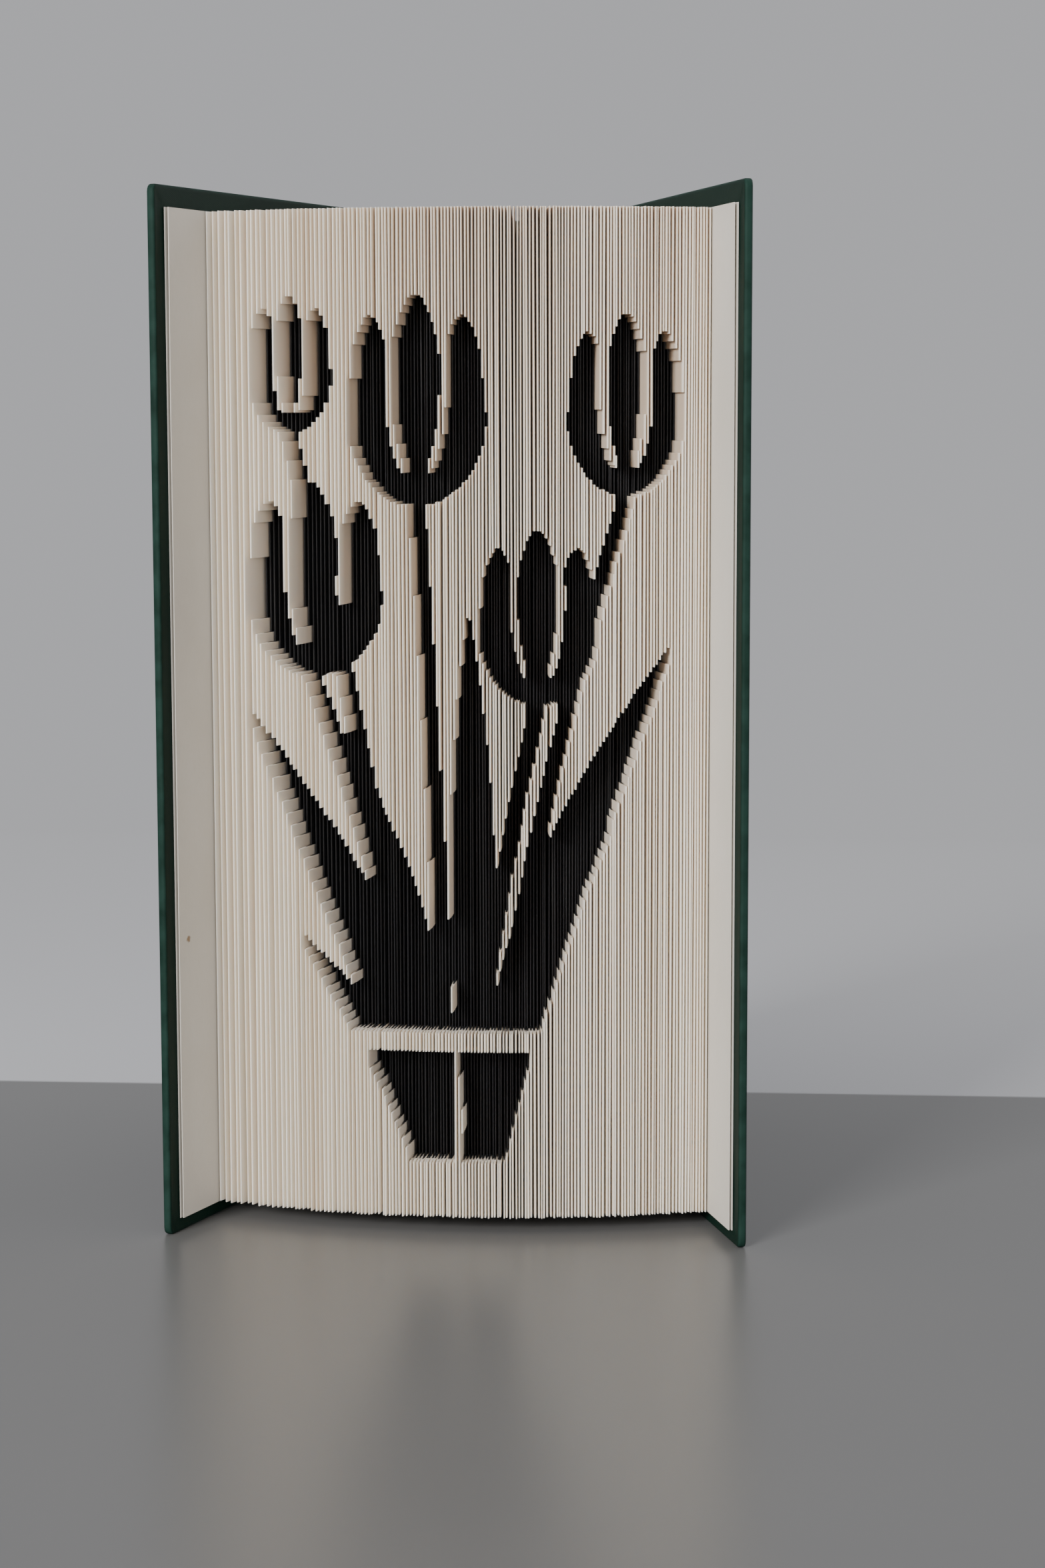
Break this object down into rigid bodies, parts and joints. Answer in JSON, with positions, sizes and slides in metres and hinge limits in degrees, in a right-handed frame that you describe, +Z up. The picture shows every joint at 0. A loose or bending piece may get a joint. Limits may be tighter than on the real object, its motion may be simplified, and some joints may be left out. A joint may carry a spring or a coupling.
{
  "type": "folded fore-edge hardback book",
  "caption": "Hardback book standing open on its tail edges, its leaves folded back and cut so that inked folds form a plant picture in the fore-edge.",
  "frame": {"origin": "middle of the bounding box's base, on the surface that the book stands on", "axes": "+Z up along the spine, -Y towards the fore-edge and the viewer, +X towards the back cover"},
  "size_m": [0.1238, 0.137, 0.22],
  "materials": {
    "leaves": "matt book paper, inked black on the edges of the tucked folds",
    "endpaper": "matt heavier paper, slightly toned",
    "book_cloth": "dark green book cloth with a fine grain, rubbed along the edges",
    "greyboard": "matt grey card",
    "mull": "open starched cotton weave",
    "kraft": "matt brown paper",
    "band_thread": "sewn cotton thread"
  },
  "bodies": {
    "root": {"text_block": "leaves", "front_flyleaf": "endpaper", "back_flyleaf": "endpaper", "spine_mull": "mull", "spine_lining": "kraft", "headband": "band_thread", "tailband": "band_thread", "spine_inlay": "greyboard", "spine_cloth": "book_cloth"},
    "front_cover": {"front_board": "greyboard", "front_cover_cloth": "book_cloth", "front_pastedown": "endpaper"},
    "back_cover": {"back_board": "greyboard", "back_cover_cloth": "book_cloth", "back_pastedown": "endpaper"}
  },
  "joints": [
    {"name": "front_cover_hinge", "type": "hinge", "parent": "root", "child": "front_cover", "pos_m": [-0.015, 0.06403, 0.11], "axis": [0, 0, -1], "range_deg": [0, 110]},
    {"name": "back_cover_hinge", "type": "hinge", "parent": "root", "child": "back_cover", "pos_m": [0.015, 0.06403, 0.11], "axis": [0, 0, 1], "range_deg": [0, 110]}
  ]
}
